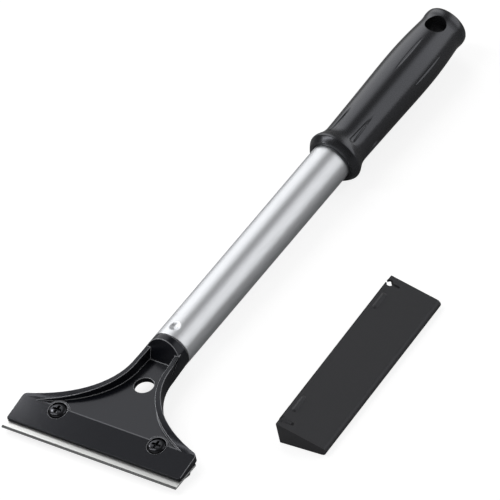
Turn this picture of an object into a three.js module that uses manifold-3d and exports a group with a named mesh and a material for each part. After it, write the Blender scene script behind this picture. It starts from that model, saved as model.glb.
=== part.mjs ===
// Griddle scraper with its blade cover taken off, both lying on a flat surface at z = 0.
// Millimetres, +Z up. The handle runs along +Y and the blade edge lies along X.
//
// The scraper is drawn in a tool frame: the tube axis is Y, the tube's lower end is at y = 0,
// the head is at negative y and its face looks along +Z. The whole tool is then tipped by a
// small angle, so that it rests on the clamp plate and on the grip's collar.

import * as THREE from 'three';
import { mergeVertices } from 'three/addons/utils/BufferGeometryUtils.js';
import Module from 'manifold-3d';

// Fits
const FIT = 0.3;
const BLADE_CLEARANCE = 0.25;
const SCREW_CLEARANCE = 0.3;

// Blade
const BLADE_WIDTH = 100;
const BLADE_DEPTH = 20;
const BLADE_THICKNESS = 0.8;
const BLADE_EXPOSED = 4.4;
const BLADE_BEVEL = 1;
const BLADE_EDGE_THICKNESS = 0.12;
const BLADE_CORNER_CUT = 3;

// Handle tube
const TUBE_DIAMETER = 20;
const TUBE_WALL = 1.2;
const TUBE_LENGTH = 206;
const DIMPLE_DIAMETER = 5.8;
const DIMPLE_DEPTH = 1.2;
const DIMPLE_FROM_END = 6.1;

// Head
const HEAD_LENGTH = 66.5;
const HEAD_END_INSET = 0.4;
const HEAD_END_DEPTH = 15.3;
const HEAD_REAR_CORNER = 2;
const HEAD_FRONT_CORNER = 1;
const SEAT_DROP = 4.7;
const LIP_THICKNESS = 1.5;
const FOLD_FROM_LIP = 14.1;
const FOLD_THICKNESS = 3.5;
const WEB_THICKNESS = 2.9;
const RIB_WIDTH = 2.3;
const RIB_END_WIDTH = 3.6;
const RIB_TOP = 4.1;
const RIB_RISE = 2.8;
const FLANK_START = 14;
const FLANK_NECK_PULL = 14;
const FLANK_END_PULL = 28;
const FLANK_END_SLOPE = 0.258;
const FLANK_TAPER = 0.9;
const FACET_TOP_FROM_SHOULDER = 3.6;
const FACET_SLOPE = 2.8;
const NECK_RAMP_START = 18;
const NECK_RAMP_END = 5;
const WEB_HOLE_DIAMETER = 9.6;
const WEB_HOLE_FROM_SHOULDER = 23.3;
const SPIGOT_LENGTH = 28;

// Clamp screws and plate
const SCREW_SPACING = 56.8;
const SCREW_FROM_FOLD = 1.5;
const SCREW_DIAMETER = 5;
const SCREW_HEAD_DIAMETER = 8.6;
const SCREW_HEAD_HEIGHT = 2.6;
const SCREW_HEAD_EDGE = 1.3;
const RECESS_SPAN = 4.8;
const RECESS_WIDTH = 1.2;
const RECESS_DEPTH = 1.5;
const BOSS_DIAMETER = 11.4;
const BOSS_TOP = -0.7;
const COUNTERBORE_DIAMETER = 9.4;
const COUNTERBORE_DEPTH = 2.7;
const PLATE_END_INSET = 1;
const PLATE_THICKNESS = 2.9;
const PLATE_SETBACK = 1.6;
const PLATE_HEEL = 1.5;
const PLATE_CHAMFER_RUN = 8.9;
const PLATE_NOSE_THICKNESS = 0.6;
const PLATE_END_LENGTH = 6.8;
const PLATE_CORNER_CUT = 7;

// Grip
const GRIP_FROM_SHOULDER = 134.1;
const GRIP_LENGTH = 99.9;
const COLLAR_LIP_DIAMETER = 24.2;
const COLLAR_DIAMETER = 27.7;
const COLLAR_LENGTH = 11.2;
const COLLAR_CREST = 0.29;
const WAIST_DIAMETER = 22.8;
const SWELL_DIAMETER = 24.5;
const BUTT_NECK_DIAMETER = 21.6;
const BUTT_FLARE_DIAMETER = 22.3;
const BUTT_FLARE_LENGTH = 8;
const GRIP_TWIST = THREE.MathUtils.degToRad(12);
const HANG_HOLE_DIAMETER = 10;
const HANG_HOLE_FROM_BUTT = 10.8;
const GROOVE_COUNT = 6;
const GROOVE_LENGTH = 21;
const GROOVE_DEPTH = 0.5;
const GROOVE_LIFT = 0.7;
const LOWER_GROOVE_WIDTH = 2.6;
const LOWER_GROOVE_FROM_LIP = 18;
const UPPER_GROOVE_WIDTH = 1.4;
const UPPER_GROOVE_FROM_BUTT = 34;

// Blade cover
const COVER_END_CLEARANCE = 1.3;
const COVER_DEPTH = 25.5;
const COVER_WALL = 1.3;
const COVER_END_WALL = 1.5;
const COVER_NOSE_RADIUS = 2.4;
const COVER_NOSE_WALL = 1.6;
const COVER_WEDGE = THREE.MathUtils.degToRad(17.5);
const COVER_X = 84.7;
const COVER_Y = 31.6;
const COVER_YAW = THREE.MathUtils.degToRad(3.4);
const HOOK_NOTCH_DIAMETER = 3.4;
const HOOK_ARM = 2.6;
const HOOK_SLIT_WIDTH = 1;
const HOOK_SLIT_LENGTH = 5;
const BUMP_SPACING = 73.2;
const BUMP_LENGTH = 11;
const BUMP_RADIUS = 1.4;

// Smoothness
const ROUND_SEGMENTS = 48;
const SMALL_SEGMENTS = 24;
const CURVE_SEGMENTS = 16;

// Places in the tool frame that follow from the sizes above
const neckRadius = TUBE_DIAMETER / 2;
const tubeInnerRadius = neckRadius - TUBE_WALL;
const lipY = -HEAD_LENGTH;
const foldY = lipY + FOLD_FROM_LIP;
const edgeY = lipY - BLADE_EXPOSED;
const headEndY = lipY + HEAD_END_DEPTH;
const screwY = foldY - SCREW_FROM_FOLD;
const screwXs = [-SCREW_SPACING / 2, SCREW_SPACING / 2];
const seatZ = -SEAT_DROP;
const foldZ = seatZ + FOLD_THICKNESS;
const webZ = seatZ + WEB_THICKNESS;
const counterboreZ = BOSS_TOP - COUNTERBORE_DEPTH;
const bladeTopZ = seatZ - BLADE_CLEARANCE;
const bladeRearY = edgeY + BLADE_DEPTH;
const plateTopZ = bladeTopZ - BLADE_THICKNESS - BLADE_CLEARANCE;
const plateBottomZ = plateTopZ - PLATE_THICKNESS;
const plateFrontY = lipY + PLATE_SETBACK;
const heelY = bladeRearY + FIT;
const plateRearY = heelY + PLATE_HEEL;
const facetY = -FACET_TOP_FROM_SHOULDER - (neckRadius - RIB_TOP) / FACET_SLOPE;
const headHalf = BLADE_WIDTH / 2 - HEAD_END_INSET;
const plateWidth = BLADE_WIDTH - 2 * PLATE_END_INSET;
const coverLength = BLADE_WIDTH + 2 * (COVER_END_CLEARANCE + COVER_END_WALL);
const buttY = GRIP_FROM_SHOULDER + GRIP_LENGTH;
const gripBoreRadius = neckRadius + FIT;
const tubeTopY = FIT + TUBE_LENGTH;
const dimpleRadius = (DIMPLE_DIAMETER ** 2 / 4 + DIMPLE_DEPTH ** 2) / (2 * DIMPLE_DEPTH);
const dimpleCentre = new THREE.Vector3(0, FIT + DIMPLE_FROM_END, neckRadius - DIMPLE_DEPTH + dimpleRadius);

// A cut that has to run clear of the piece reaches this much further.
const OVERRUN = 2;

const wasm = await Module();
wasm.setup();

// A closed three.js geometry as a solid for cutting and joining.
function solid(geometry) {
  const bare = geometry.clone();
  bare.deleteAttribute('normal');
  bare.deleteAttribute('uv');
  const merged = mergeVertices(bare, 1e-4);
  const index = merged.index.array;
  const faces = [];
  for (let i = 0; i < index.length; i += 3) {
    const [a, b, c] = [index[i], index[i + 1], index[i + 2]];
    if (a !== b && b !== c && c !== a) faces.push(a, b, c);
  }
  return new wasm.Manifold(new wasm.Mesh({
    numProp: 3,
    vertProperties: new Float32Array(merged.attributes.position.array),
    triVerts: new Uint32Array(faces),
  }));
}

// A solid back as a three.js geometry.
function geometryOf(shape) {
  const mesh = shape.getMesh();
  const geometry = new THREE.BufferGeometry();
  geometry.setAttribute('position', new THREE.Float32BufferAttribute(mesh.vertProperties, 3));
  geometry.setIndex(Array.from(mesh.triVerts));
  geometry.computeVertexNormals();
  return geometry;
}

function joined(first, ...others) {
  return others.reduce((sum, other) => sum.add(other), first);
}

function cut(body, ...tools) {
  return tools.reduce((left, tool) => left.subtract(tool), body);
}

// An outline drawn in X and Y, raised from z = low to z = high.
function prismZ(points, low, high) {
  const drawn = { depth: high - low, bevelEnabled: false };
  const geometry = new THREE.ExtrudeGeometry(new THREE.Shape(points), drawn);
  geometry.translate(0, 0, low);
  return solid(geometry);
}

// An outline drawn in Y and Z, drawn out along X over a width centred on x = 0.
function prismX(points, width, middle = 0) {
  const geometry = new THREE.ExtrudeGeometry(new THREE.Shape(points), { depth: width, bevelEnabled: false });
  geometry.translate(0, 0, -width / 2);
  const turn = new THREE.Matrix4().makeBasis(
    new THREE.Vector3(0, 1, 0),
    new THREE.Vector3(0, 0, 1),
    new THREE.Vector3(1, 0, 0),
  );
  geometry.applyMatrix4(turn);
  geometry.translate(middle, 0, 0);
  return solid(geometry);
}

function box(lowX, highX, lowY, highY, lowZ, highZ) {
  const geometry = new THREE.BoxGeometry(highX - lowX, highY - lowY, highZ - lowZ);
  geometry.translate((lowX + highX) / 2, (lowY + highY) / 2, (lowZ + highZ) / 2);
  return solid(geometry);
}

function rodY(radius, low, high) {
  const geometry = new THREE.CylinderGeometry(radius, radius, high - low, ROUND_SEGMENTS);
  geometry.translate(0, (low + high) / 2, 0);
  return solid(geometry);
}

function rodZ(x, y, diameter, low, high, segments = SMALL_SEGMENTS) {
  const geometry = new THREE.CylinderGeometry(diameter / 2, diameter / 2, high - low, segments);
  geometry.rotateX(Math.PI / 2);
  geometry.translate(x, y, (low + high) / 2);
  return solid(geometry);
}

function ball(centre, radius) {
  const geometry = new THREE.SphereGeometry(radius, SMALL_SEGMENTS, SMALL_SEGMENTS / 2);
  geometry.translate(centre.x, centre.y, centre.z);
  return solid(geometry);
}

function finish(name, shape, color, roughness, metalness) {
  const material = new THREE.MeshStandardMaterial({ color, roughness, metalness });
  const mesh = new THREE.Mesh(geometryOf(shape), material);
  mesh.name = name;
  return mesh;
}

// The right flank of the head, from below the neck out to the end corner, as a trumpet curve.
function flankCurve() {
  return new THREE.CubicBezierCurve(
    new THREE.Vector2(neckRadius, -FLANK_START),
    new THREE.Vector2(neckRadius, -FLANK_START - FLANK_NECK_PULL),
    new THREE.Vector2(headHalf - FLANK_END_PULL, headEndY + FLANK_END_PULL * FLANK_END_SLOPE),
    new THREE.Vector2(headHalf, headEndY),
  );
}

// Points along the flank, moved inwards by a distance that may grow towards the end corner. They
// begin where the ribs meet the neck.
function flankPoints(neckInset, endInset) {
  const curve = flankCurve();
  const bend = Array.from({ length: CURVE_SEGMENTS + 1 }, (_, i) => {
    const t = i / CURVE_SEGMENTS;
    const inset = THREE.MathUtils.lerp(neckInset, endInset, t);
    const point = curve.getPoint(t);
    const along = curve.getTangent(t);
    return new THREE.Vector2(point.x + along.y * inset, point.y - along.x * inset);
  });
  return [new THREE.Vector2(neckRadius - FLANK_TAPER - neckInset, -FACET_TOP_FROM_SHOULDER), ...bend];
}

function mirrored(points) {
  return points.map((p) => new THREE.Vector2(-p.x, p.y)).reverse();
}

// A corner of an outline, rounded over a reach along both of its sides.
function roundedCorner(before, corner, after, reach) {
  const start = before.clone().sub(corner).setLength(reach).add(corner);
  const end = after.clone().sub(corner).setLength(reach).add(corner);
  return new THREE.QuadraticBezierCurve(start, corner, end).getPoints(CURVE_SEGMENTS / 4);
}

// The head's outline seen from the front.
function headOutline() {
  const flank = flankPoints(0, 0);
  const rear = flank.pop();
  const front = new THREE.Vector2(headHalf, lipY);
  const right = [
    ...flank,
    ...roundedCorner(flank[flank.length - 1], rear, front, HEAD_REAR_CORNER),
    ...roundedCorner(rear, front, new THREE.Vector2(0, lipY), HEAD_FRONT_CORNER),
  ];
  return [...right.slice().reverse(), ...mirrored(right).reverse()];
}

// The pocket's outline inside the ribs: it closes in two points on the fold line.
function pocketOutline() {
  const inner = flankPoints(RIB_WIDTH, RIB_END_WIDTH).filter((p) => p.y > foldY);
  const last = inner[inner.length - 1];
  const before = inner[inner.length - 2];
  const reach = (last.y - foldY) / (before.y - last.y);
  const tip = new THREE.Vector2(last.x + (last.x - before.x) * reach, foldY);
  const right = [...inner, tip];
  return [...right.slice().reverse(), ...mirrored(right).reverse()];
}

// The height of the head's face, from the front lip over the fold and up to the top of the ribs.
function headProfile() {
  const reach = facetY - foldY;
  const rise = new THREE.CubicBezierCurve(
    new THREE.Vector2(foldY, foldZ),
    new THREE.Vector2(foldY + reach * 0.14, foldZ + RIB_RISE),
    new THREE.Vector2(foldY + reach * 0.4, RIB_TOP - RIB_RISE * 0.65),
    new THREE.Vector2(facetY, RIB_TOP),
  );
  return [new THREE.Vector2(lipY, seatZ + LIP_THICKNESS), ...rise.getPoints(CURVE_SEGMENTS / 2)];
}

// The flat part of the head: its outline, as thick as the profile says.
function headPlate() {
  const slab = prismX([
    new THREE.Vector2(-FACET_TOP_FROM_SHOULDER - FIT, seatZ),
    new THREE.Vector2(-FACET_TOP_FROM_SHOULDER - FIT, RIB_TOP),
    ...headProfile().reverse(),
    new THREE.Vector2(lipY, seatZ),
  ], BLADE_WIDTH + OVERRUN);
  return slab.intersect(prismZ(headOutline(), seatZ - OVERRUN, neckRadius));
}

// The round neck. A ramp brings its back up to the seat, and the facet's slope cuts its front.
function neck() {
  const side = prismX([
    new THREE.Vector2(0, -neckRadius - OVERRUN),
    new THREE.Vector2(0, neckRadius + OVERRUN),
    new THREE.Vector2(-FACET_TOP_FROM_SHOULDER + OVERRUN / FACET_SLOPE, neckRadius + OVERRUN),
    new THREE.Vector2(facetY - FIT / FACET_SLOPE, RIB_TOP - FIT),
    new THREE.Vector2(-NECK_RAMP_START, webZ),
    new THREE.Vector2(-NECK_RAMP_START, seatZ + FIT),
    new THREE.Vector2(-NECK_RAMP_END, -neckRadius),
    new THREE.Vector2(-NECK_RAMP_END, -neckRadius - OVERRUN),
  ], TUBE_DIAMETER + OVERRUN);
  return rodY(neckRadius, -NECK_RAMP_START - OVERRUN, 0).intersect(side);
}

// The space above the web, closed at the neck by the sloped facet.
function facePocket() {
  const facetFoot = -FACET_TOP_FROM_SHOULDER - (neckRadius - webZ) / FACET_SLOPE;
  const under = prismX([
    new THREE.Vector2(lipY, webZ),
    new THREE.Vector2(facetFoot, webZ),
    new THREE.Vector2(facetFoot + (2 * neckRadius - webZ) / FACET_SLOPE, 2 * neckRadius),
    new THREE.Vector2(lipY, 2 * neckRadius),
  ], BLADE_WIDTH);
  const pocket = prismZ(pocketOutline(), webZ - OVERRUN, 2 * neckRadius).intersect(under);
  return cut(pocket, ...screwXs.map((x) => rodZ(x, screwY, BOSS_DIAMETER, webZ - OVERRUN, 2 * neckRadius)));
}

function headCasting() {
  const spigot = rodY(tubeInnerRadius - FIT, -OVERRUN, SPIGOT_LENGTH);
  const body = joined(headPlate(), neck(), spigot);
  const holes = screwXs.flatMap((x) => [
    rodZ(x, screwY, SCREW_DIAMETER + 2 * SCREW_CLEARANCE, seatZ - OVERRUN, BOSS_TOP),
    rodZ(x, screwY, COUNTERBORE_DIAMETER, counterboreZ, BOSS_TOP + OVERRUN),
    rodZ(x, screwY, BOSS_DIAMETER, BOSS_TOP, neckRadius),
  ]);
  const holeY = -WEB_HOLE_FROM_SHOULDER;
  const webHole = rodZ(0, holeY, WEB_HOLE_DIAMETER, seatZ - OVERRUN, neckRadius, ROUND_SEGMENTS);
  const dimpleSeat = ball(dimpleCentre, dimpleRadius + TUBE_WALL + FIT);
  const spigotSide = rodY(tubeInnerRadius, FIT / 2, SPIGOT_LENGTH);
  return cut(body, facePocket(), ...holes, webHole, dimpleSeat.intersect(spigotSide));
}

// The blade is ground along its edge and notched at the back, so that it draws straight out. Its
// rear corners are clipped.
function blade() {
  const bottom = bladeTopZ - BLADE_THICKNESS;
  const section = prismX([
    new THREE.Vector2(edgeY, bottom),
    new THREE.Vector2(bladeRearY, bottom),
    new THREE.Vector2(bladeRearY, bladeTopZ),
    new THREE.Vector2(edgeY + BLADE_BEVEL, bladeTopZ),
    new THREE.Vector2(edgeY, bottom + BLADE_EDGE_THICKNESS),
  ], BLADE_WIDTH);
  const notch = SCREW_DIAMETER + 4 * SCREW_CLEARANCE;
  const low = bottom - OVERRUN;
  const high = bladeTopZ + OVERRUN;
  const notches = screwXs.flatMap((x) => [
    rodZ(x, screwY, notch, low, high),
    box(x - notch / 2, x + notch / 2, screwY, bladeRearY + OVERRUN, low, high),
  ]);
  const half = BLADE_WIDTH / 2;
  const right = [
    new THREE.Vector2(half, edgeY - OVERRUN),
    new THREE.Vector2(half, bladeRearY - BLADE_CORNER_CUT),
    new THREE.Vector2(half - BLADE_CORNER_CUT - OVERRUN, bladeRearY + OVERRUN),
  ];
  const outline = prismZ([...right, ...mirrored(right)], low, high);
  return cut(section.intersect(outline), ...notches);
}

// The clamp plate: a heel stands up behind the blade, and the rear corners are cut away so that
// the cover can hook over the ends.
function clampPlate() {
  const section = prismX([
    new THREE.Vector2(plateFrontY, plateTopZ - PLATE_NOSE_THICKNESS),
    new THREE.Vector2(plateFrontY + PLATE_CHAMFER_RUN, plateBottomZ),
    new THREE.Vector2(plateRearY, plateBottomZ),
    new THREE.Vector2(plateRearY, bladeTopZ),
    new THREE.Vector2(heelY, bladeTopZ),
    new THREE.Vector2(heelY, plateTopZ),
    new THREE.Vector2(plateFrontY, plateTopZ),
  ], plateWidth + OVERRUN);
  const half = plateWidth / 2;
  const right = [
    new THREE.Vector2(half, plateFrontY - OVERRUN),
    new THREE.Vector2(half, plateFrontY + PLATE_END_LENGTH),
    new THREE.Vector2(half - PLATE_CORNER_CUT, plateRearY + OVERRUN),
  ];
  const outline = prismZ([...right, ...mirrored(right)], plateBottomZ - OVERRUN, bladeTopZ + OVERRUN);
  const threads = screwXs.map((x) => (
    rodZ(x, screwY, SCREW_DIAMETER + 2 * SCREW_CLEARANCE, plateBottomZ - OVERRUN, bladeTopZ + OVERRUN)
  ));
  return cut(section.intersect(outline), ...threads);
}

// A pan head screw with a cross recess, drawn on its own axis with the head's seat at z = 0.
function clampScrew() {
  const seat = counterboreZ + FIT;
  const shank = plateBottomZ + FIT - seat;
  const crown = new THREE.QuadraticBezierCurve(
    new THREE.Vector2(SCREW_HEAD_DIAMETER / 2, SCREW_HEAD_EDGE),
    new THREE.Vector2(SCREW_HEAD_DIAMETER / 2, SCREW_HEAD_HEIGHT),
    new THREE.Vector2(0, SCREW_HEAD_HEIGHT),
  );
  const lathe = new THREE.LatheGeometry([
    new THREE.Vector2(0, shank),
    new THREE.Vector2(SCREW_DIAMETER / 2, shank),
    new THREE.Vector2(SCREW_DIAMETER / 2, 0),
    new THREE.Vector2(SCREW_HEAD_DIAMETER / 2, 0),
    ...crown.getPoints(CURVE_SEGMENTS / 2),
  ], SMALL_SEGMENTS);
  lathe.rotateX(Math.PI / 2);
  const floor = SCREW_HEAD_HEIGHT - RECESS_DEPTH;
  const top = SCREW_HEAD_HEIGHT + OVERRUN;
  const half = RECESS_SPAN / 2;
  const arm = RECESS_WIDTH / 2;
  return cut(
    solid(lathe),
    box(-half, half, -arm, arm, floor, top),
    box(-arm, arm, -half, half, floor, top),
  );
}

// The tube with its punched dimple, which stands into a seat in the spigot.
function handleTube() {
  const outer = rodY(neckRadius, FIT, tubeTopY);
  const inner = rodY(tubeInnerRadius, FIT - OVERRUN, tubeTopY + OVERRUN);
  const bulge = ball(dimpleCentre, dimpleRadius + TUBE_WALL).intersect(outer);
  return cut(joined(cut(outer, inner), bulge), ball(dimpleCentre, dimpleRadius));
}

// The grip's outer radius along its length, from the collar's lip to the butt.
function gripOutline() {
  const lip = GRIP_FROM_SHOULDER;
  const waist = lip + COLLAR_LENGTH;
  const flare = buttY - BUTT_FLARE_LENGTH;
  const body = flare - waist;
  const swellGain = (SWELL_DIAMETER - WAIST_DIAMETER) / 2;
  const curve = new THREE.SplineCurve([
    new THREE.Vector2(COLLAR_LIP_DIAMETER / 2, lip),
    new THREE.Vector2(COLLAR_DIAMETER / 2, lip + COLLAR_LENGTH * COLLAR_CREST),
    new THREE.Vector2((COLLAR_DIAMETER + WAIST_DIAMETER) / 4, lip + COLLAR_LENGTH * 0.7),
    new THREE.Vector2(WAIST_DIAMETER / 2, waist),
    new THREE.Vector2(WAIST_DIAMETER / 2 + swellGain * 0.4, waist + body * 0.35),
    new THREE.Vector2(SWELL_DIAMETER / 2, waist + body * 0.66),
    new THREE.Vector2(SWELL_DIAMETER / 2 - swellGain * 0.6, waist + body * 0.86),
    new THREE.Vector2(BUTT_NECK_DIAMETER / 2, flare),
    new THREE.Vector2(BUTT_FLARE_DIAMETER / 2, flare + BUTT_FLARE_LENGTH * 0.5),
    new THREE.Vector2(BUTT_FLARE_DIAMETER / 2 - 0.6, flare + BUTT_FLARE_LENGTH * 0.8),
  ]);
  return curve.getPoints(CURVE_SEGMENTS * 2);
}

// A long shallow groove in the grip, pointed at both ends. It is cut by the underside of a long
// ball, whose middle stands above the surface by a share of the ball's own height.
function groove(angle, middleY, surface, width) {
  const share = Math.sqrt(1 - GROOVE_LIFT ** 2);
  const across = width / 2 / share;
  const deep = GROOVE_DEPTH / (1 - GROOVE_LIFT);
  const geometry = new THREE.SphereGeometry(1, SMALL_SEGMENTS / 2, SMALL_SEGMENTS / 2);
  geometry.scale(across, GROOVE_LENGTH / 2 / share, deep);
  geometry.translate(0, middleY, surface + deep * GROOVE_LIFT);
  geometry.rotateY(angle);
  return solid(geometry);
}

function grip() {
  const boreEnd = tubeTopY + FIT;
  const profile = [
    new THREE.Vector2(gripBoreRadius, boreEnd),
    new THREE.Vector2(gripBoreRadius, GRIP_FROM_SHOULDER),
    ...gripOutline(),
    new THREE.Vector2(0, buttY),
    new THREE.Vector2(0, boreEnd),
    new THREE.Vector2(gripBoreRadius, boreEnd),
  ];
  const body = solid(new THREE.LatheGeometry(profile, ROUND_SEGMENTS));
  const hole = rodZ(0, buttY - HANG_HOLE_FROM_BUTT, HANG_HOLE_DIAMETER, -COLLAR_DIAMETER, COLLAR_DIAMETER);
  const step = (Math.PI * 2) / GROOVE_COUNT;
  const lowerY = GRIP_FROM_SHOULDER + LOWER_GROOVE_FROM_LIP;
  const upperY = buttY - UPPER_GROOVE_FROM_BUTT;
  const grooves = Array.from({ length: GROOVE_COUNT }, (_, i) => [
    groove(step * (i + 0.5), lowerY, WAIST_DIAMETER / 2, LOWER_GROOVE_WIDTH),
    groove(step * i, upperY, SWELL_DIAMETER / 2, UPPER_GROOVE_WIDTH),
  ]).flat();
  return cut(body, hole, ...grooves);
}

// The cover's height above its flat underside, at a distance from its closed nose. The sloped
// wall runs tangent to the rounded nose.
function coverTop(depth) {
  const level = COVER_NOSE_RADIUS * (1 + 1 / Math.cos(COVER_WEDGE) - Math.tan(COVER_WEDGE));
  return level + depth * Math.tan(COVER_WEDGE);
}

// The rounded nose, from the sloped wall round to the underside.
function coverNose() {
  const turn = new THREE.EllipseCurve(
    COVER_NOSE_RADIUS,
    COVER_NOSE_RADIUS,
    COVER_NOSE_RADIUS,
    COVER_NOSE_RADIUS,
    Math.PI / 2 + COVER_WEDGE,
    Math.PI * 1.5,
  );
  return turn.getPoints(CURVE_SEGMENTS / 2);
}

// The cover on its own, lying flat: its length along X, its nose at y = 0 and its mouth at +Y.
function bladeCover() {
  const half = coverLength / 2;
  const mouth = COVER_DEPTH;
  const slant = COVER_WALL / Math.cos(COVER_WEDGE);
  const shell = prismX([
    new THREE.Vector2(mouth, 0),
    new THREE.Vector2(mouth, coverTop(mouth)),
    ...coverNose(),
  ], coverLength);
  const hollow = prismX([
    new THREE.Vector2(COVER_NOSE_WALL, COVER_WALL),
    new THREE.Vector2(mouth + OVERRUN, COVER_WALL),
    new THREE.Vector2(mouth + OVERRUN, coverTop(mouth + OVERRUN) - slant),
    new THREE.Vector2(COVER_NOSE_WALL, coverTop(COVER_NOSE_WALL) - slant),
  ], coverLength - 2 * COVER_END_WALL);
  const low = COVER_WALL * 2;
  const high = coverTop(mouth) + OVERRUN;
  const hooks = [-1, 1].flatMap((side) => {
    const x = side * (half - HOOK_ARM - HOOK_NOTCH_DIAMETER / 2);
    const y = mouth - HOOK_NOTCH_DIAMETER / 2;
    const slit = HOOK_SLIT_WIDTH / 2;
    return [
      rodZ(x, y, HOOK_NOTCH_DIAMETER, low, high),
      box(x - slit, x + slit, y - HOOK_SLIT_LENGTH, mouth + OVERRUN, low, high),
    ];
  });
  const bumps = [-1, 1].map((side) => {
    const bar = new THREE.CapsuleGeometry(BUMP_RADIUS, BUMP_LENGTH - 2 * BUMP_RADIUS, 4, SMALL_SEGMENTS / 2);
    bar.rotateZ(Math.PI / 2);
    const y = mouth - 2 * BUMP_RADIUS;
    bar.translate(side * BUMP_SPACING / 2, y, coverTop(y) - slant / 2);
    return solid(bar);
  });
  return cut(joined(cut(shell, hollow), ...bumps), ...hooks);
}

const BLACK_CASTING = 0x2e2f33;
const BLACK_GRIP = 0x343436;
const BLACK_COVER = 0x3c3c3e;
const BLACK_STEEL = 0x2a2a2c;
const STEEL = 0xc9cbcd;
const ALUMINIUM = 0xb9bcc0;

const tool = new THREE.Group();
tool.add(finish('head_casting', headCasting(), BLACK_CASTING, 0.42, 0.1));
tool.add(finish('blade', blade(), STEEL, 0.25, 1));
tool.add(finish('clamp_plate', clampPlate(), BLACK_CASTING, 0.45, 0.1));
tool.add(finish('handle_tube', handleTube(), ALUMINIUM, 0.35, 1));
['left', 'right'].forEach((side, i) => {
  const screw = finish(`clamp_screw_${side}`, clampScrew(), BLACK_STEEL, 0.35, 0.8);
  screw.position.set(screwXs[i], screwY, counterboreZ + FIT);
  tool.add(screw);
});
const handGrip = finish('grip', grip(), BLACK_GRIP, 0.45, 0);
handGrip.rotation.y = GRIP_TWIST;
tool.add(handGrip);

// The tool rests on the front of the clamp plate's back and on the widest ring of the collar.
const restFrontY = plateFrontY + PLATE_CHAMFER_RUN;
const restCollarY = GRIP_FROM_SHOULDER + COLLAR_LENGTH * COLLAR_CREST;
const restTilt = Math.atan2(COLLAR_DIAMETER / 2 + plateBottomZ, restCollarY - restFrontY);
tool.rotation.x = restTilt;
tool.position.z = -(restFrontY * Math.sin(restTilt) + plateBottomZ * Math.cos(restTilt));

// The cover lies beside the handle, with its mouth towards it.
const cover = new THREE.Group();
const sheath = finish('blade_cover', bladeCover(), BLACK_COVER, 0.55, 0);
sheath.position.set(0, -COVER_DEPTH / 2, 0);
cover.add(sheath);
cover.rotation.z = Math.PI / 2 + COVER_YAW;
cover.position.set(COVER_X, COVER_Y, 0);

const scraper = new THREE.Group();
scraper.add(tool, cover);

// The origin is under the middle of everything, on the surface that it lies on.
const extent = new THREE.Box3().setFromObject(scraper, true);
const middle = extent.getCenter(new THREE.Vector3());
scraper.position.set(-middle.x, -middle.y, -extent.min.z);

export default scraper;
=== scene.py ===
"""Looks of a griddle scraper that lies beside its blade cover.

The CAD frame gives the places and the moving bodies. Each sub-assembly below is a class that
makes finer pieces over the CAD nodes, dresses them in procedural finishes and lets them ride on
the right body.
"""

import logging
import math
from dataclasses import dataclass, field
from enum import Enum, IntEnum
from typing import Callable, Sequence

import bmesh
import bpy
from mathutils import Matrix, Vector


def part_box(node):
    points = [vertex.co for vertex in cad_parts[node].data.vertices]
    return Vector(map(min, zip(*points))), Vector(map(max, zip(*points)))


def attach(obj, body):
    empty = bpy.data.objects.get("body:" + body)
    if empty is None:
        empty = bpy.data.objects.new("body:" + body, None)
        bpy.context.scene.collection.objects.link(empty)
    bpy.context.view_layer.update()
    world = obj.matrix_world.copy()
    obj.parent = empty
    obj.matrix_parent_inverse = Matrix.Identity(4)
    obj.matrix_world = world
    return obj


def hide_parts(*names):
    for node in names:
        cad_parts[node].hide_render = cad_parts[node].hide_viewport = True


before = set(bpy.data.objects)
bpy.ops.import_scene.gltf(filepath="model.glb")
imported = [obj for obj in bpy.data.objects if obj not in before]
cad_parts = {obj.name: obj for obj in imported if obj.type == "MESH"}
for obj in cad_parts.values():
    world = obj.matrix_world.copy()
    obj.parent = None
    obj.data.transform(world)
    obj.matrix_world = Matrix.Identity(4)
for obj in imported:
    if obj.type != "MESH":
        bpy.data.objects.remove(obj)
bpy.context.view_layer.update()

MM = 0.001
LOG = logging.getLogger("griddle_scraper")
Profile = Sequence[tuple[float, float]]


class Body(Enum):
    """The rigid bodies that pieces ride on."""

    TOOL = "tool"
    BLADE = "blade"
    SCREW_LEFT = "screw_left"
    SCREW_RIGHT = "screw_right"
    COVER = "cover"


class Slot(Enum):
    """The record's material slots."""

    CASTING = "black_casting"
    STEEL = "blade_steel"
    PLATE = "black_plate"
    SCREW = "black_screw"
    ALUMINIUM = "satin_aluminium"
    GRIP = "black_grip"
    COVER = "charcoal_cover"


class Coat(IntEnum):
    """The order of a casting's materials: its enamel, the painted highlight on its upward-facing edges and
    the painted highlight along its fold.
    """

    BODY = 0
    EDGE = 1
    FOLD = 2


@dataclass(frozen=True)
class ToolFrame:
    """The scraper's own frame: tube axis along Y, tube end at y = 0, face along +Z.

    Attributes:
        tilt: The small tip about X at which the tool rests, in radians.
        tube_radius: The tube's outer radius in millimetres.
        tube_start: The gap between the shoulder and the tube's end in millimetres.
    """

    tilt: float = 0.0255959
    tube_radius: float = 10.0
    tube_start: float = 0.3

    def matrix(self) -> Matrix:
        """Places a mesh that is drawn in tool millimetres.

        Returns:
            The matrix from tool millimetres to row metres.
        """
        low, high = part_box("handle_tube")
        cosine, sine = math.cos(self.tilt), math.sin(self.tilt)
        radius, start = self.tube_radius * MM, self.tube_start * MM
        origin = Vector((
            (low.x + high.x) / 2,
            low.y - start * cosine + radius * sine,
            low.z - start * sine + radius * cosine,
        ))
        turn = Matrix.Rotation(self.tilt, 4, "X")
        return Matrix.Translation(origin) @ turn @ Matrix.Scale(MM, 4)

    def directions(self, vectors: Sequence[Vector]) -> list[Vector]:
        """Turns tool directions into row directions.

        Args:
            vectors: Directions in the tool frame.

        Returns:
            The same directions in the row frame.
        """
        turn = Matrix.Rotation(self.tilt, 3, "X")
        return [turn @ vector for vector in vectors]


TOOL = ToolFrame()


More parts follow.
